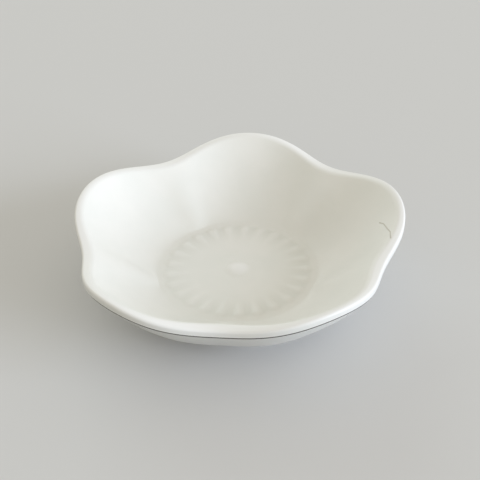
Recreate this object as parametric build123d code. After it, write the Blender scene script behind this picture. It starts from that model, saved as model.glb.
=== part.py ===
from build123d import *
import math
import os

# A small porcelain dish for soy sauce, pressed in the form of a five-petal plum blossom.
# Millimetres. The origin is the centre of the plane that the foot stands on, +Z is up,
# and the middle of one petal points along +Y.

# Rim of the glazed dish
PETALS = 5
RIM_RADIUS = 48.75  # axis to the outer face of the lip, in the middle of a petal
NOTCH_DEPTH = 4.75  # how much nearer to the axis the lip is at a notch between two petals
PETAL_FULLNESS = 0.65  # how far the flanks of a petal swell beyond a plain wave
RIM_HEIGHT = 24.9  # table to the top of the lip, in the middle of a petal
NOTCH_DROP = 3.9  # how much lower the lip is at a notch
LIP_EDGE = 0.7  # rounding of the outer edge of the lip
LIP_TOP_PETAL = 0.2  # width of its flat top in the middle of a petal
LIP_TOP_NOTCH = 1.4  # and at a notch
LIP_SHOULDER = 2.6  # rounding from the top into the inner wall
LIP_FACE = 1.85  # height of the outer face, from the top to the groove below it
GROOVE_WIDTH = 0.5
GROOVE_DEPTH = 0.6
GROOVE_STEP = 0.2  # how far the wall below the groove stands back from the lip

# Wall and floor of the glazed dish
INNER_SLOPE = 45  # slope of the inner wall at the lip, in degrees
OUTER_SLOPE = 55  # slope of the outer wall at the groove, in degrees
FLOOR_RADIUS = 23.5  # the flat inside
FLOOR_THICKNESS = 3.4
FLOOR_EDGE_SLOPE = 1  # slope of the inner wall where it leaves the floor, in degrees
HEEL_WIDTH = 1.5  # flat of the underside outside the foot
HEEL_SLOPE = 14  # slope of the outer wall where it leaves the underside, in degrees
PETAL_CUP = 0.7  # how far the middle of a petal is hollowed, and the wall below a notch brought in
FOLD_RISE = 0.6  # how much further the narrow fold below each notch stands in
FOLD_SPREAD = 9  # how far the fold reaches to each side, in degrees

# Foot
FOOT_HEIGHT = 3.0
FOOT_RADIUS = 25.5
FOOT_WIDTH = 3.2
FOOT_BARE = 1.2  # height of the bare band at its lower edge
FOOT_ROUNDING = 0.3  # radius of its lower edges as a share of its width without glaze

# Raised blossom on the floor
STAMENS_PER_PETAL = 5
STAMEN_START = 15.0  # axis to the inner end, where a stamen rises out of the floor
STAMEN_INSET = 1.5  # from the outer end to the edge of the floor
STAMEN_RISE = 0.34  # height of the outer end
STAMEN_WIDTH = 3.4  # width at the outer end
STAMEN_TAPER = 0.5  # thickness of the inner end as a share of the outer end's
BOSS_RADIUS = 3.6
BOSS_RISE = 0.9

GLAZE = 0.25  # thickness of the glaze

# Fineness of the rings that the wall is lofted through
POINTS_PER_PETAL = 16
WALL_RINGS = 11
ARC_RINGS = 7

# Sizes that follow
UNDERSIDE = FOOT_HEIGHT
FLOOR = UNDERSIDE + FLOOR_THICKNESS
CLAY_UNDERSIDE = UNDERSIDE + GLAZE
MID_FLOOR = UNDERSIDE + FLOOR_THICKNESS / 2
HEEL_RADIUS = FOOT_RADIUS + HEEL_WIDTH
FOOT_OUTER = FOOT_RADIUS - GLAZE
FOOT_INNER = FOOT_RADIUS - FOOT_WIDTH + GLAZE
FIRST_PETAL = 90
STAMENS = STAMENS_PER_PETAL * PETALS
RING_POINTS = POINTS_PER_PETAL * PETALS
RING_ANGLES = [2 * math.pi * step / RING_POINTS for step in range(RING_POINTS)]
RING_KNOTS = [step / RING_POINTS for step in range(RING_POINTS + 1)]


def notch(angle):
    """How near an angle around the dish is to a notch: 0 in the middle of a petal, 1 at a notch."""
    return (1 - math.cos(PETALS * (angle - math.radians(FIRST_PETAL)))) / 2


def lip_edge(angle):
    """Radius of the lip's outer face and height of its top at an angle around the dish."""
    swell = math.sin(PETALS * (angle - math.radians(FIRST_PETAL))) ** 2
    radius = RIM_RADIUS - NOTCH_DEPTH * notch(angle) + PETAL_FULLNESS * swell
    return radius, RIM_HEIGHT - NOTCH_DROP * notch(angle)


def fold(angle):
    """How far the inner wall stands in at an angle: hollow petals, and a narrow ridge below each notch."""
    pitch = 360 / PETALS
    aside = (math.degrees(angle) - FIRST_PETAL) % pitch - pitch / 2
    share = (aside / FOLD_SPREAD) ** 2
    return PETAL_CUP * (2 * notch(angle) - 1) + FOLD_RISE * (1 - 2 * share) * math.exp(-share)


def steps(count):
    """Evenly spaced numbers from 0 to 1."""
    return [step / (count - 1) for step in range(count)]


def wall_line(start, start_slope, end, end_slope):
    """Points on the parabola that leaves start and reaches end at the given slopes."""
    start_rise = math.tan(math.radians(start_slope))
    end_rise = math.tan(math.radians(end_slope))
    step_up = end[1] - start[1] - start_rise * (end[0] - start[0])
    reach = end[0] - start[0] - step_up / (end_rise - start_rise)
    corner = (start[0] + reach, start[1] + start_rise * reach)
    line = []
    for u in steps(WALL_RINGS):
        weights = ((1 - u) ** 2, 2 * u * (1 - u), u**2)
        line.append([sum(w * p[axis] for w, p in zip(weights, (start, corner, end))) for axis in (0, 1)])
    return line


def arc_line(centre, radius, first, last):
    """Points on an arc of the cut, between two directions counted in degrees from outward to up."""
    turns = [math.radians(first + (last - first) * u) for u in steps(ARC_RINGS)]
    return [[centre[0] + radius * math.cos(t), centre[1] + radius * math.sin(t)] for t in turns]


def lip_lines(angle, grow):
    """The outer edge of the lip and the shoulder inside its flat top, in the cut at an angle."""
    radius, height = lip_edge(angle)
    top = LIP_TOP_PETAL + (LIP_TOP_NOTCH - LIP_TOP_PETAL) * notch(angle)
    edge = arc_line((radius - LIP_EDGE, height - LIP_EDGE), LIP_EDGE + grow, 0, 90)
    shoulder_centre = (radius - LIP_EDGE - top, height - LIP_SHOULDER)
    return edge, arc_line(shoulder_centre, LIP_SHOULDER + grow, 90, 90 + INNER_SLOPE)


def groove_line(angle, grow):
    """The lower edge, the bottom and the upper edge of the groove under the lip."""
    radius, height = lip_edge(angle)
    slope = math.radians(OUTER_SLOPE)
    upper = height - LIP_FACE
    lower = upper - GROOVE_WIDTH
    lower_edge = [radius - GROOVE_STEP + grow * math.sin(slope), lower - grow * math.cos(slope)]
    bottom = [radius - GROOVE_DEPTH + 2 * grow, (lower + upper) / 2]
    return lower_edge, bottom, [radius + grow, upper - grow]


def meridian(angle, grow):
    """One cut through the wall: up the outside, through the groove, over the lip and down to the floor.

    It comes in lines that meet end to end. grow moves the surface out of the clay: 0 gives the
    glazed dish and -GLAZE the clay itself.
    """
    lower_edge, bottom, upper_edge = groove_line(angle, grow)
    edge, shoulder = lip_lines(angle, grow)
    outside = wall_line((HEEL_RADIUS, UNDERSIDE - grow), HEEL_SLOPE, lower_edge, OUTER_SLOPE)
    inside = wall_line((FLOOR_RADIUS, FLOOR + grow), FLOOR_EDGE_SLOPE, shoulder[-1], INNER_SLOPE)
    for point, u in zip(inside, steps(WALL_RINGS)):
        point[0] -= fold(angle) * math.sin(math.pi * u)
    return [
        outside,
        [lower_edge, bottom],
        [bottom, upper_edge],
        [upper_edge, edge[0]],
        edge,
        [edge[-1], shoulder[0]],
        shoulder,
        inside[::-1],
    ]


def rings(cuts):
    """Closed curves through the points that the cuts have at the same place."""
    curves = []
    for ring in zip(*cuts):
        points = [(r * math.cos(a), r * math.sin(a), z) for (r, z), a in zip(ring, RING_ANGLES)]
        curves.append(Wire([Edge.make_spline(points, periodic=True, parameters=RING_KNOTS)]))
    return curves


def bowl(grow):
    """Floor, wall and lip: one lofted skin for each line of the cut, and two flat faces."""
    skins = [rings(cuts) for cuts in zip(*[meridian(angle, grow) for angle in RING_ANGLES])]
    faces = [face for skin in skins for face in Shell.make_loft(skin).faces()]
    return Solid(Shell(faces + [Face(skins[0][0]), Face(skins[-1][-1])]))


def cap_radius(width, rise):
    """Radius of the circle of which a cap this high is this wide."""
    return (width**2 / 4 + rise**2) / (2 * rise)


def stamen(grow):
    """One stamen along +X: the top of a tapered rod with a round outer end, sunk until only its back shows."""
    outer = cap_radius(STAMEN_WIDTH, STAMEN_RISE)
    inner = STAMEN_TAPER * outer
    reach = FLOOR_RADIUS - STAMEN_INSET - STAMEN_WIDTH / 2 - STAMEN_START
    climb = STAMEN_RISE - outer + inner
    length = math.hypot(reach, climb)
    outer_end = outer + grow
    half_turn = outer_end * math.sqrt(0.5)
    outline = [
        Polyline((0, 0), (0, inner + grow), (length, outer_end)),
        ThreePointArc((length, outer_end), (length + half_turn, half_turn), (length + outer_end, 0)),
        Line((length + outer_end, 0), (0, 0)),
    ]
    rod = revolve(make_face(outline), Axis.X)
    sunk = Pos(STAMEN_START, 0, FLOOR - inner) * Rot(Y=-math.degrees(math.atan2(climb, reach))) * rod
    return split(sunk, Plane((0, 0, MID_FLOOR)), keep=Keep.TOP)


def stamens(grow):
    """All stamens, evenly spaced, with one in the middle of each petal."""
    one = stamen(grow)
    return [Rot(Z=FIRST_PETAL + 360 * step / STAMENS) * one for step in range(STAMENS)]


def boss(grow):
    """The low dome in the middle of the floor, reaching down into the floor."""
    radius = cap_radius(2 * BOSS_RADIUS, BOSS_RISE)
    centre = FLOOR + BOSS_RISE - radius
    lowest = math.degrees(math.asin((MID_FLOOR - centre) / radius))
    return Solid.make_sphere(radius + grow, Plane((0, 0, centre)), angle1=lowest)


def dish(grow):
    """The bowl with the blossom on its floor."""
    return bowl(grow).fuse(boss(grow), *[rod.solid() for rod in stamens(grow)])


def disc(radius, bottom, top):
    """An upright cylinder on the axis between two heights."""
    return Pos(0, 0, bottom) * Cylinder(radius, top - bottom, align=(Align.CENTER, Align.CENTER, Align.MIN))


def foot_ring():
    """The ring under the dish, with its lower edges rounded."""
    ring = disc(FOOT_OUTER, 0, CLAY_UNDERSIDE) - disc(FOOT_INNER, 0, CLAY_UNDERSIDE)
    return fillet(ring.edges().group_by(Axis.Z)[0], FOOT_ROUNDING * (FOOT_OUTER - FOOT_INNER))


def side(radius, bottom, top):
    """The side of an upright cylinder on the axis."""
    return disc(radius, bottom, top).faces().filter_by(GeomType.CYLINDER)


def holed(outline, radius):
    """The flat face inside an outline, with a round hole on the axis."""
    height = outline.center().Z
    return Face(outline, [Wire.make_circle(radius, Plane((0, 0, height)))])


def glaze_coat(clay):
    """The coat over the inside, the lip, the outside and the outer side of the foot.

    Its faces are the glazed dish's and the clay's, joined by a sleeve round the foot.
    """
    glazed_base, *glazed_skin = dish(0).faces().sort_by(Axis.Z)
    clay_base, *clay_skin = clay.faces().sort_by(Axis.Z)
    sleeve = [
        holed(glazed_base.outer_wire(), FOOT_RADIUS),
        *side(FOOT_RADIUS, FOOT_BARE, UNDERSIDE),
        holed(Wire.make_circle(FOOT_RADIUS, Plane((0, 0, FOOT_BARE))), FOOT_OUTER),
        *side(FOOT_OUTER, FOOT_BARE, CLAY_UNDERSIDE),
        holed(clay_base.outer_wire(), FOOT_OUTER),
    ]
    return Solid(Shell(glazed_skin + sleeve + clay_skin))


def recess_glaze():
    """The coat inside the foot: a shallow cup, open downwards."""
    return disc(FOOT_INNER, FOOT_BARE, CLAY_UNDERSIDE) - disc(FOOT_INNER - GLAZE, FOOT_BARE, UNDERSIDE)


def build():
    """Every node's name and its shape."""
    clay = dish(-GLAZE)
    return {
        "dish_body": clay,
        "foot_ring": foot_ring(),
        "glaze_coat": glaze_coat(clay),
        "recess_glaze": recess_glaze(),
    }


os.makedirs("parts", exist_ok=True)
for node, shape in build().items():
    export_step(shape, f"parts/{node}.step")
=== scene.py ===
import math

import bpy
import numpy as np
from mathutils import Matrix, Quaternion, Vector


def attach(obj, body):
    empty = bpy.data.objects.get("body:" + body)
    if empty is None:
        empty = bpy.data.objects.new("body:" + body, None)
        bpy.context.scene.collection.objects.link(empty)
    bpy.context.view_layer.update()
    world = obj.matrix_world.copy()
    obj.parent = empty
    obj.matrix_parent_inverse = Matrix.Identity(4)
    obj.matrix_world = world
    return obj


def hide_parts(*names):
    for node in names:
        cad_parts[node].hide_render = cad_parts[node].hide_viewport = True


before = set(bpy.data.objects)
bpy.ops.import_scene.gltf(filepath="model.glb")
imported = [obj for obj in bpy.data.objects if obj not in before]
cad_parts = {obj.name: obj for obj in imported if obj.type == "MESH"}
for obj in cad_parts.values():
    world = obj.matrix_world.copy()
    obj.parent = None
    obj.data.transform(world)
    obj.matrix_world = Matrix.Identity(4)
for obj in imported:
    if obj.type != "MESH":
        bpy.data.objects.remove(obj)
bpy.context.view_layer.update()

# A porcelain dish in the form of a plum blossom. Sizes are in millimetres, in the frame of the solids,
# and become metres when a mesh is made. The lamps and the table top are in metres.
MM = 0.001

# Rim
PETALS = 5
FIRST_PETAL = math.radians(90)  # direction of the middle of one petal
RIM_RADIUS = 48.75  # axis to the outer face of the lip, in the middle of a petal
NOTCH_DEPTH = 4.75  # how much nearer to the axis the lip is at a notch between two petals
PETAL_FULLNESS = 0.65  # how far the flanks of a petal swell beyond a plain wave
RIM_HEIGHT = 24.9  # table to the top of the lip, in the middle of a petal
NOTCH_DROP = 3.9  # how much lower the lip is at a notch
LIP_EDGE = 0.7  # rounding of the outer edge of the lip
LIP_TOP_PETAL = 0.2  # width of its flat top in the middle of a petal
LIP_TOP_NOTCH = 1.4  # and at a notch
LIP_SHOULDER = 2.6  # rounding from the top into the inner wall
LIP_FACE = 1.85  # height of its outer face, from the top to the groove
GROOVE_WIDTH = 0.5
GROOVE_DEPTH = 0.6
GROOVE_STEP = 0.2  # how far the wall below the groove stands back from the lip
GROOVE_DARKENED_SHARE = 0.95  # share of each flank, from the bottom up, that is darkened by painted shade and grime

# Wall and floor
INNER_SLOPE = math.radians(45)  # slope of the inner wall at the lip
OUTER_SLOPE = math.radians(55)  # slope of the outer wall at the groove
FLOOR_RADIUS = 23.5
FLOOR_THICKNESS = 3.4
FLOOR_EDGE_SLOPE = math.radians(1)  # slope of the inner wall where it leaves the floor
HEEL_WIDTH = 1.5  # flat of the underside outside the foot
HEEL_SLOPE = math.radians(14)  # slope of the outer wall where it leaves the underside
PETAL_CUP = 0.7  # how far the middle of a petal is hollowed, and the wall below a notch brought in
FOLD_RISE = 0.6  # how much further the narrow fold below each notch stands in
FOLD_SPREAD = math.radians(9)  # how far that fold spreads to each side

# Raised blossom on the floor
STAMENS_PER_PETAL = 5
STAMEN_START = 15.0  # axis to the inner end, where a stamen rises out of the floor
STAMEN_INSET = 1.5  # from the outer end to the edge of the floor
STAMEN_RISE = 0.34
STAMEN_WIDTH = 3.4
STAMEN_TAPER = 0.5  # thickness of the inner end as a share of the outer end's
BOSS_RADIUS = 3.6
BOSS_RISE = 0.9
RELIEF_SOFTNESS = 0.12  # how softly the glaze rounds the foot of the relief

# Foot
FOOT_HEIGHT = 3.0
FOOT_RADIUS = 25.5
FOOT_WIDTH = 3.2
FOOT_BARE = 1.2  # mean height of the glaze's edge above the table
FOOT_FILLET = 0.6  # glaze pooled in the corner between foot and underside
TURNING_STEP = 2.4  # between the rings that turning left on the underside
TURNING_DEPTH = 0.03

# Glaze
GLAZE = 0.25  # thickness
GLAZE_EDGE = ((1, 0), (0.4, 0.1), (0, 0.7))  # depth and height of its rounded edge, as shares of that
GLAZE_LINE_SWING = 0.12  # how far the edge on the foot wanders up and down
GLAZE_LINE_WAVES = ((3, 1.0, 0.7), (8, 0.6, 2.1), (17, 0.4, 0.0))  # waves round the foot, height and phase
HAIRLINE_WIDTH = 0.25
HAIRLINE = (  # points along a crack on the inner wall
    (40.8, 7.5, 19.4),
    (41.9, 5.7, 20.3),
    (42.8, 2.2, 21.1),
    (43.4, -0.4, 22.0),
    (43.4, -3.5, 22.1),
)
MARKS = ("shade_and_grime", "highlight", "hollow_shade")  # painted shade and grime in the groove, a painted highlight over edges, painted shade in the hollows between stamens

# Look of the glaze. Colours are red, green, blue and opacity.
GLAZE_DEEP = (0.855, 0.86, 0.825, 1)
GLAZE_LIGHT = (0.885, 0.882, 0.848, 1)
# Painted shade for the hollows between the stamens
HOLLOW_SHADE_COLOUR = (0.82, 0.825, 0.785, 1)
# Painted highlight for the lip and the top of the boss
HIGHLIGHT_COLOUR = (0.94, 0.94, 0.93, 1)
CRACK_COLOUR = (0.62, 0.6, 0.54, 1)
# Painted shade, with some grime, for the groove under the lip
SHADE_AND_GRIME_COLOUR = (0.12, 0.115, 0.1, 1)
GLAZE_ROUGHNESS = (0.40, 0.50)
GROOVE_ROUGHNESS = 0.8
CLOUD_SIZE = 14  # patches of the two colours
SHEEN_SIZE = 5  # patches of smoother and rougher glaze
WAVE_SIZE = 9
WAVE_DEPTH = 0.05
RIPPLE_SIZE = 1.1
RIPPLE_DEPTH = 0.004
CRACK_DEPTH = 0.03

# Look of the bare clay
CLAY_DARK = (0.80, 0.765, 0.70, 1)
CLAY_PALE = (0.87, 0.845, 0.79, 1)
SPECK_COLOUR = (0.62, 0.56, 0.48, 1)
SPECK_SHARE = 0.5  # how much of their colour the darkest specks have
WORN_COLOUR = (0.5, 0.48, 0.45, 1)
WORN_HEIGHT = (0.05, 0.35)  # above the table, from the most worn to the unworn clay
WORN_SHARE = 0.5  # how much of its colour the most worn clay has
WORN_LEAST = 0.3  # share of the wear that is left in the least worn patches
CLAY_ROUGHNESS = (0.7, 0.92)
GRAIN_SIZE = 0.35
GRAIN_DEPTH = 0.03
PATCH_SIZE = 4
WEAR_SIZE = 2.5
DENT_SIZE = 3
DENT_DEPTH = 0.03

# Parts of a noise's range that are spread over another range, and the full range
MIDDLE = (0.4, 0.6)
BROAD_MIDDLE = (0.35, 0.65)
NEARLY_ALL = (0.3, 0.7)
PEAKS = (0.58, 0.72)
FULL = (0, 1)

# Fineness of the meshes
SEGMENTS_PER_STAMEN = 12
FLOOR_RINGS = 44
FLOOR_RING_SPREAD = 0.8  # under 1, the rings lie closer together towards the edge of the floor
RECESS_RINGS = 40
WALL_RINGS = 30
LIP_RINGS = 9
FILLET_RINGS = 7
HIDDEN_STEP = 2  # the clay side of the glaze has every second ring
SHARP_ANGLE = math.radians(40)  # edges that turn by more are not smoothed

# View of the photograph
VIEW_AZIMUTH = math.radians(6.8)
VIEW_ELEVATION = math.radians(35.35)
VIEW_DISTANCE = 257.7
VIEW_CENTRE = Vector((0, 0, 21.7))  # the middle of the rim
VIEW_ROLL = math.radians(-1.78)
VIEW_RIGHT = 1.08  # from the middle of the rim to what the picture's centre shows
VIEW_UP = -3.88
LENS = 67.8
SENSOR = 36
NEAR_CLIP = 10  # what is nearer to the camera is left out

# Light. Azimuth counts from the right of the picture towards the back.
LAMP_DISTANCE = 4.8
LAMP_SIZE = 3.0
KEY_AZIMUTH = math.radians(-25)
KEY_ELEVATION = math.radians(12)
KEY_POWER = 236.0
KEY_COLOUR = (0.77, 0.85, 1.0)
FILL_AZIMUTH = math.radians(110)
FILL_ELEVATION = math.radians(20)
FILL_POWER = 45.0
FILL_COLOUR = (0.82, 0.96, 1.0)
WORLD_STRENGTH = 0.625
WORLD_COLOUR = (1.0, 0.957, 0.85, 1)

# Table top, which ends well before the lamps
TABLE_REACH = 1.5  # axis of the dish to its edges
TABLE_COLOUR = (0.7, 0.7, 0.7, 1)
TABLE_BOUNCE = (0.4, 0.4, 0.4, 1)  # its colour for the light that it throws back at the dish
TABLE_ROUGHNESS = 0.9

# Sizes that follow
UNDERSIDE = FOOT_HEIGHT
FLOOR = UNDERSIDE + FLOOR_THICKNESS
HEEL_RADIUS = FOOT_RADIUS + HEEL_WIDTH
RECESS_RADIUS = FOOT_RADIUS - FOOT_WIDTH
STAMENS = STAMENS_PER_PETAL * PETALS
SEGMENTS = SEGMENTS_PER_STAMEN * STAMENS
ANGLES = np.arange(SEGMENTS) * 2 * math.pi / SEGMENTS


def notch():
    """How near each angle is to a notch: 0 in the middle of a petal, 1 at a notch."""
    return (1 - np.cos(PETALS * (ANGLES - FIRST_PETAL))) / 2


def lip_edge():
    """Radius of the outer face and height of the top of the lip, all the way round."""
    swell = np.sin(PETALS * (ANGLES - FIRST_PETAL)) ** 2
    radius = RIM_RADIUS - NOTCH_DEPTH * notch() + PETAL_FULLNESS * swell
    return radius, RIM_HEIGHT - NOTCH_DROP * notch()


def fold():
    """How far the inner wall stands in: hollow petals, and a narrow ridge below each notch."""
    pitch = 2 * math.pi / PETALS
    aside = (ANGLES - FIRST_PETAL) % pitch - pitch / 2
    share = (aside / FOLD_SPREAD) ** 2
    return PETAL_CUP * (2 * notch() - 1) + FOLD_RISE * (1 - 2 * share) * np.exp(-share)


def wall_rings(start, start_slope, end, end_slope):
    """Rings along the parabola that leaves start and reaches end at the given slopes."""
    start_rise = math.tan(start_slope)
    end_rise = math.tan(end_slope)
    step_up = end[1] - start[1] - start_rise * (end[0] - start[0])
    reach = end[0] - start[0] - step_up / (end_rise - start_rise)
    corner = (start[0] + reach, start[1] + start_rise * reach)
    rings = []
    for u in np.linspace(0, 1, WALL_RINGS):
        weighted = (((1 - u) ** 2, start), (2 * u * (1 - u), corner), (u**2, end))
        rings.append([sum(weight * point[axis] for weight, point in weighted) for axis in (0, 1)])
    return rings


def arc_rings(centre, radius, first, last):
    """Rings along an arc of the lip's cut, between two directions counted in degrees from outward to up."""
    turns = np.radians(np.linspace(first, last, LIP_RINGS))
    return [[centre[0] + radius * math.cos(t), centre[1] + radius * math.sin(t)] for t in turns]


def highlighted(rings, first, last):
    """Rings marked with how much painted highlight they carry, from the first ring's share to the last's.
    """
    shares = np.linspace(first, last, len(rings))
    return [ring + [{"highlight": share}] for ring, share in zip(rings, shares)]


def lip_rings(grow):
    """Rings from the lower edge of the lip's outer face over its top to the inner wall."""
    radius, height = lip_edge()
    lower_edge = [radius + grow, height - LIP_FACE - grow]
    edge = arc_rings((radius - LIP_EDGE, height - LIP_EDGE), LIP_EDGE + grow, 0, 90)
    top = LIP_TOP_PETAL + (LIP_TOP_NOTCH - LIP_TOP_PETAL) * notch()
    shoulder_centre = (radius - LIP_EDGE - top, height - LIP_SHOULDER)
    shoulder = arc_rings(shoulder_centre, LIP_SHOULDER + grow, 90, 90 + math.degrees(INNER_SLOPE))
    # The lip's edge and shoulder carry a painted highlight, strongest on its top.
    return [lower_edge] + highlighted(edge, 0, 1) + highlighted(shoulder, 1, 0)


def between(start, end, share):
    """The ring that lies a share of the way from one ring to another."""
    return [a + (b - a) * share for a, b in zip(start, end)]


def groove_rings(grow):
    """Rings up through the groove under the lip, without its upper edge; painted shade and grime darken its
    flanks and bottom.
    """
    radius, height = lip_edge()
    upper = height - LIP_FACE
    lower = upper - GROOVE_WIDTH
    upper_edge = [radius + grow, upper - grow]
    bottom = [radius - GROOVE_DEPTH + 2 * grow, (lower + upper) / 2]
    lower_edge = [
        radius - GROOVE_STEP + grow * math.sin(OUTER_SLOPE),
        lower - grow * math.cos(OUTER_SLOPE),
    ]
    lower_darkened = between(bottom, lower_edge, GROOVE_DARKENED_SHARE)
    upper_darkened = between(bottom, upper_edge, GROOVE_DARKENED_SHARE)
    # The groove's bottom and flanks carry painted shade and grime.
    return [lower_edge] + [ring + [{"shade_and_grime": 1}] for ring in (lower_darkened, bottom, upper_darkened)]


def cap_radius(width, rise):
    """Radius of the circle of which a cap this high is this wide."""
    return (width**2 / 4 + rise**2) / (2 * rise)


def stamen_height(radius):
    """Height of the back of the nearest stamen above the floor, less than zero beside it."""
    pitch = 2 * math.pi / STAMENS
    aside = (ANGLES - FIRST_PETAL + pitch / 2) % pitch - pitch / 2
    outer = cap_radius(STAMEN_WIDTH, STAMEN_RISE)
    reach = FLOOR_RADIUS - STAMEN_INSET - STAMEN_WIDTH / 2 - STAMEN_START
    along = radius * np.cos(aside) - STAMEN_START
    on_axis = np.clip(along, 0, reach)
    share = on_axis / reach
    thickness = outer * (STAMEN_TAPER + (1 - STAMEN_TAPER) * share)
    off = np.hypot(radius * np.sin(aside), along - on_axis)
    back = np.sqrt(np.maximum(thickness**2 - off**2, 0)) - np.maximum(off - thickness, 0)
    return STAMEN_RISE * share - thickness + back


def boss_height(radius):
    """Height of the dome in the middle above the floor, less than zero beside it."""
    ball = cap_radius(2 * BOSS_RADIUS, BOSS_RISE)
    return BOSS_RISE - ball + math.sqrt(max(ball**2 - radius**2, 0))


def floor_rings(grow):
    """Rings over the floor and its relief, from the edge to the middle.

    Painted shade darkens the hollows between the stamens, and a painted highlight lightens the boss.
    """
    shares = np.linspace(1, 0, FLOOR_RINGS, endpoint=False) ** FLOOR_RING_SPREAD
    rings = []
    for radius in FLOOR_RADIUS * shares:
        boss = boss_height(radius)
        relief = np.maximum(stamen_height(radius), boss)
        rise = (relief + np.sqrt(relief**2 + RELIEF_SOFTNESS**2)) / 2
        # Painted shade fills the hollows between the stamens; a painted highlight lies over the boss.
        marks = {"hollow_shade": (rise.max() - rise) / STAMEN_RISE, "highlight": max(boss, 0) / BOSS_RISE}
        rings.append([radius, FLOOR + grow + rise, marks])
    return rings


def bowl_rings(grow):
    """Rings from the heel up the outside, over the lip and down to the middle of the floor.

    grow moves the surface out of the clay: 0 gives the glazed dish and -GLAZE the clay itself.
    """
    lip = lip_rings(grow)
    groove = groove_rings(grow)
    outside = wall_rings((HEEL_RADIUS, UNDERSIDE - grow), HEEL_SLOPE, groove[0], OUTER_SLOPE)
    inside = wall_rings((FLOOR_RADIUS, FLOOR + grow), FLOOR_EDGE_SLOPE, lip[-1], INNER_SLOPE)
    for ring, u in zip(inside, np.linspace(0, 1, WALL_RINGS)):
        ring[0] = ring[0] - fold() * math.sin(math.pi * u)
    return outside + groove[1:] + lip + inside[-2:0:-1] + floor_rings(grow)


def glaze_line():
    """Height of the wandering edge of the glaze on the foot."""
    wander = sum(height * np.sin(count * ANGLES + phase) for count, height, phase in GLAZE_LINE_WAVES)
    return FOOT_BARE + GLAZE_LINE_SWING * wander


def foot_rings(surface, away):
    """Rings up the glaze on one side of the foot: its rounded edge, then the pooled corner above.

    away is the way out of the clay: 1 on the outer side of the foot and -1 on the inner.
    """
    line = glaze_line()
    rings = [[surface - away * depth * GLAZE, line + height * GLAZE] for depth, height in GLAZE_EDGE]
    for turn in np.linspace(0, math.pi / 2, FILLET_RINGS):
        radius = surface + away * FOOT_FILLET * (1 - math.cos(turn))
        rings.append([radius, UNDERSIDE - FOOT_FILLET * (1 - math.sin(turn))])
    return rings


def recess_rings():
    """Rings over the glaze inside the foot, from the middle to its wandering edge and back behind it."""
    rings = []
    for radius in np.linspace(0, RECESS_RADIUS - FOOT_FILLET, RECESS_RINGS)[1:-1]:
        ripple = TURNING_DEPTH * math.cos(2 * math.pi * radius / TURNING_STEP)
        rings.append([radius, UNDERSIDE + ripple])
    clay = UNDERSIDE + GLAZE
    behind = [[RECESS_RADIUS + GLAZE, clay], [RECESS_RADIUS / 2, clay]]
    return rings + foot_rings(RECESS_RADIUS, -1)[::-1] + behind


def add(name, data):
    """A new object of the scene that shows this data."""
    made = bpy.data.objects.new(name, data)
    bpy.context.collection.objects.link(made)
    return made


def all_round(value):
    """One number for each angle from a value that may be the same for all."""
    return value + np.zeros(SEGMENTS)


def ring_faces(count):
    """Faces between this many rings, closed by a fan round a point on the axis at each end."""
    last = (count - 1) * SEGMENTS
    first_end = last + SEGMENTS
    faces = []
    for step in range(SEGMENTS):
        after = (step + 1) % SEGMENTS
        faces.append((first_end, after, step))
        for low in range(0, last, SEGMENTS):
            high = low + SEGMENTS
            faces.append((low + step, low + after, high + after, high + step))
        faces.append((first_end + 1, last + step, last + after))
    return faces


def mesh_object(name, rings, material):
    """A closed mesh through rings of radius, height and any marks, with a point on the axis at each end."""
    points = []
    marks = {mark: [] for mark in MARKS}
    for radius, height, *marked in rings:
        points += zip(radius * np.cos(ANGLES), radius * np.sin(ANGLES), all_round(height))
        for mark, values in marks.items():
            share = marked[0].get(mark, 0) if marked else 0
            values += list(all_round(share))
    points += [(0, 0, np.mean(ring[1])) for ring in (rings[0], rings[-1])]
    mesh = bpy.data.meshes.new(name)
    mesh.from_pydata([MM * Vector(point) for point in points], [], ring_faces(len(rings)))
    mesh.shade_smooth()
    mesh.set_sharp_from_angle(angle=SHARP_ANGLE)
    for mark, values in marks.items():
        with_ends = values + [values[0], values[-1]]
        mesh.attributes.new(mark, "FLOAT", "POINT").data.foreach_set("value", with_ends)
    mesh.materials.append(material)
    return add(name, mesh)


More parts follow.
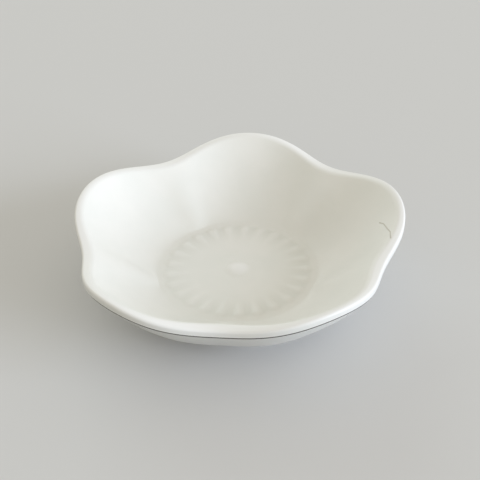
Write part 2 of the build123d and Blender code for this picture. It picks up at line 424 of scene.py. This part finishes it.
class Shading:
    """A material's nodes, with short ways to add and join them."""

    # Places of the colour sockets on a node that mixes
    FIRST_COLOUR = 6
    SECOND_COLOUR = 7
    MIXED_COLOUR = 2

    def __init__(self, name):
        self.material = bpy.data.materials.new(name)
        self.material.use_nodes = True
        self.shader = self.material.node_tree.nodes["Principled BSDF"]
        self.place = self.node("ShaderNodeTexCoord").outputs["Object"]

    def node(self, kind, inputs=None, **settings):
        """A new node with its settings, whose inputs are values or other nodes' outputs."""
        made = self.material.node_tree.nodes.new(kind)
        for name, value in settings.items():
            setattr(made, name, value)
        for name, value in (inputs or {}).items():
            self.join(made.inputs[name], value)
        return made

    def join(self, socket, value):
        """Gives a socket a value or another node's output."""
        if isinstance(value, bpy.types.NodeSocket):
            self.material.node_tree.links.new(value, socket)
        else:
            socket.default_value = value

    def finished(self, colour, roughness, normal=None):
        """The material, with these joined to its shader."""
        self.join(self.shader.inputs["Base Color"], colour)
        self.join(self.shader.inputs["Roughness"], roughness)
        if normal:
            self.join(self.shader.inputs["Normal"], normal)
        return self.material

    def mark(self, name):
        """The share of a mark that the mesh carries."""
        return self.node("ShaderNodeAttribute", attribute_name=name).outputs["Fac"]

    def noise(self, size, detail):
        """Soft random values between 0 and 1 with features of this size in millimetres."""
        inputs = {"Vector": self.place, "Scale": 1 / (MM * size), "Detail": detail}
        return self.node("ShaderNodeTexNoise", inputs).outputs["Fac"]

    def remap(self, value, source, target):
        """A value moved from one range to another and held inside it."""
        inputs = {"Value": value, "From Min": source[0], "From Max": source[1]}
        inputs |= {"To Min": target[0], "To Max": target[1]}
        return self.node("ShaderNodeMapRange", inputs).outputs["Result"]

    def mix(self, share, first, second):
        """A colour between two colours."""
        inputs = {"Factor": share, self.FIRST_COLOUR: first, self.SECOND_COLOUR: second}
        return self.node("ShaderNodeMix", inputs, data_type="RGBA").outputs[self.MIXED_COLOUR]

    def maths(self, operation, first, second):
        """A sum, product or other operation on two values."""
        return self.node("ShaderNodeMath", {0: first, 1: second}, operation=operation).outputs[0]

    def vectors(self, operation, first, second, result="Vector"):
        """A vector, or a single value, from an operation on two vectors."""
        made = self.node("ShaderNodeVectorMath", {0: first, 1: second}, operation=operation)
        return made.outputs[result]

    def bump(self, height, depth, before=None):
        """Normals for a height that runs from 0 to 1, this deep in millimetres, over earlier bumps."""
        made = self.node("ShaderNodeBump", {"Height": height, "Distance": MM * depth})
        if before:
            self.join(made.inputs["Normal"], before)
        return made.outputs["Normal"]


def hairline(shading):
    """A fine hooked crack in the glaze: near to 1 along the line and 0 beside it."""
    points = [MM * Vector(point) for point in HAIRLINE]
    gaps = []
    for start, end in zip(points, points[1:]):
        way = end - start
        offset = shading.vectors("SUBTRACT", shading.place, start)
        along = shading.vectors("DOT_PRODUCT", offset, way, "Value")
        share = shading.remap(along, (0, way.length_squared), FULL)
        foot = shading.vectors("MULTIPLY", way, share)
        gaps.append(shading.vectors("DISTANCE", offset, foot, "Value"))
    nearest = gaps[0]
    for gap in gaps[1:]:
        nearest = shading.maths("MINIMUM", nearest, gap)
    width = MM * HAIRLINE_WIDTH
    return shading.remap(nearest, (width / 2, width), (1, 0))


def glaze_material():
    """Soft white glaze: clouded and rippled, with a crack, a painted highlight over the lip and the boss,
    painted shade between the stamens, and painted shade with grime in the groove.
    """
    shading = Shading("white_glaze")
    shade_and_grime, highlight, hollow_shade = [shading.mark(name) for name in MARKS]
    crack = hairline(shading)
    cloud = shading.remap(shading.noise(CLOUD_SIZE, detail=3), BROAD_MIDDLE, FULL)
    colour = shading.mix(cloud, GLAZE_DEEP, GLAZE_LIGHT)
    # Painted shade in the hollows between the stamens.
    colour = shading.mix(hollow_shade, colour, HOLLOW_SHADE_COLOUR)
    # Painted highlight over the lip and the top of the boss.
    colour = shading.mix(highlight, colour, HIGHLIGHT_COLOUR)
    colour = shading.mix(crack, colour, CRACK_COLOUR)
    # Painted shade and grime darken the groove under the lip.
    colour = shading.mix(shade_and_grime, colour, SHADE_AND_GRIME_COLOUR)
    rough = shading.remap(shading.noise(SHEEN_SIZE, detail=4), NEARLY_ALL, GLAZE_ROUGHNESS)
    rough = shading.maths("MAXIMUM", rough, shading.maths("MULTIPLY", shade_and_grime, GROOVE_ROUGHNESS))
    normal = shading.bump(shading.noise(WAVE_SIZE, detail=2), WAVE_DEPTH)
    normal = shading.bump(shading.noise(RIPPLE_SIZE, detail=2), RIPPLE_DEPTH, normal)
    normal = shading.bump(shading.maths("SUBTRACT", 1, crack), CRACK_DEPTH, normal)
    return shading.finished(colour, rough, normal)


def porcelain_material():
    """Bare fired clay: grainy, a little uneven in colour, and grey where it has slid on tables."""
    shading = Shading("bare_porcelain")
    grain = shading.noise(GRAIN_SIZE, detail=6)
    colour = shading.mix(shading.noise(PATCH_SIZE, detail=4), CLAY_DARK, CLAY_PALE)
    colour = shading.mix(shading.remap(grain, PEAKS, (0, SPECK_SHARE)), colour, SPECK_COLOUR)
    height = shading.node("ShaderNodeSeparateXYZ", {0: shading.place}).outputs["Z"]
    worn = shading.remap(height, [MM * level for level in WORN_HEIGHT], (WORN_SHARE, 0))
    patches = shading.remap(shading.noise(WEAR_SIZE, detail=3), MIDDLE, (WORN_LEAST, 1))
    colour = shading.mix(shading.maths("MULTIPLY", worn, patches), colour, WORN_COLOUR)
    rough = shading.remap(grain, NEARLY_ALL, CLAY_ROUGHNESS)
    normal = shading.bump(shading.noise(DENT_SIZE, detail=2), DENT_DEPTH)
    normal = shading.bump(grain, GRAIN_DEPTH, normal)
    return shading.finished(colour, rough, normal)


def table_material():
    """Plain and pale where it is seen or mirrored, and darker for the light that it throws back."""
    shading = Shading("floor")
    rays = shading.node("ShaderNodeLightPath").outputs
    seen = shading.maths("MAXIMUM", rays["Is Camera Ray"], rays["Is Glossy Ray"])
    seen = shading.maths("MAXIMUM", seen, rays["Is Transmission Ray"])
    colour = shading.mix(seen, TABLE_BOUNCE, TABLE_COLOUR)
    return shading.finished(colour, TABLE_ROUGHNESS)


def glaze_coat(material):
    """The coat over the dish and the outer side of its foot, closed by its clay side."""
    hidden = bowl_rings(-GLAZE)[::-HIDDEN_STEP]
    rings = hidden + foot_rings(FOOT_RADIUS, 1) + bowl_rings(0)
    piece = mesh_object("glaze", rings, material)
    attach(piece, "root")
    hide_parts("glaze_coat")


def recess_glaze(material):
    """The coat inside the foot, with faint rings from turning."""
    piece = mesh_object("recess", recess_rings(), material)
    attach(piece, "root")
    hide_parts("recess_glaze")


def bare_clay(material):
    """The solids of the foot and the body, which stay as they are."""
    for node in ("dish_body", "foot_ring"):
        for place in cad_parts[node].material_slots:
            place.material = material


def direction(turn, lift):
    """The way that lies a turn from +X towards +Y and is lifted from the level."""
    return Vector((math.cos(lift) * math.cos(turn), math.cos(lift) * math.sin(turn), math.sin(lift)))


def lamp(name, azimuth, elevation, power, colour):
    """A soft square lamp that faces the dish."""
    light = bpy.data.lights.new(name, "AREA")
    light.size = LAMP_SIZE
    light.energy = power
    light.color = colour
    away = direction(azimuth + VIEW_AZIMUTH, elevation)
    holder = add(name, light)
    holder.location = LAMP_DISTANCE * away
    holder.rotation_euler = away.to_track_quat("Z", "Y").to_euler()


def world_light():
    """Even light from all round."""
    world = bpy.data.worlds.new("studio")
    world.use_nodes = True
    background = world.node_tree.nodes["Background"]
    background.inputs["Color"].default_value = WORLD_COLOUR
    background.inputs["Strength"].default_value = WORLD_STRENGTH
    bpy.context.scene.world = world


def floor():
    """A plain pale table top."""
    mesh = bpy.data.meshes.new("floor")
    corners = ((-1, -1, 0), (1, -1, 0), (1, 1, 0), (-1, 1, 0))
    mesh.from_pydata([TABLE_REACH * Vector(corner) for corner in corners], [], [(0, 1, 2, 3)])
    mesh.materials.append(table_material())
    plane = add("floor", mesh)


def camera():
    """The photograph's view."""
    data = bpy.data.cameras.new("camera")
    data.lens = LENS
    data.sensor_width = SENSOR
    data.clip_start = MM * NEAR_CLIP
    away = direction(VIEW_AZIMUTH - math.pi / 2, VIEW_ELEVATION)
    roll = Quaternion((0, 0, 1), VIEW_ROLL)
    turned = away.to_track_quat("Z", "Y") @ roll
    position = VIEW_CENTRE + VIEW_DISTANCE * away
    target = VIEW_CENTRE + turned @ Vector((VIEW_RIGHT, VIEW_UP, 0))
    aim = (position - target).to_track_quat("Z", "Y") @ roll
    holder = add("camera", data)
    holder.location = MM * position
    holder.rotation_euler = aim.to_euler()
    bpy.context.scene.camera = holder


glaze = glaze_material()
glaze_coat(glaze)
recess_glaze(glaze)
bare_clay(porcelain_material())
lamp("key", KEY_AZIMUTH, KEY_ELEVATION, KEY_POWER, KEY_COLOUR)
lamp("fill", FILL_AZIMUTH, FILL_ELEVATION, FILL_POWER, FILL_COLOUR)
world_light()
floor()
camera()
bpy.context.scene.view_settings.view_transform = "Standard"
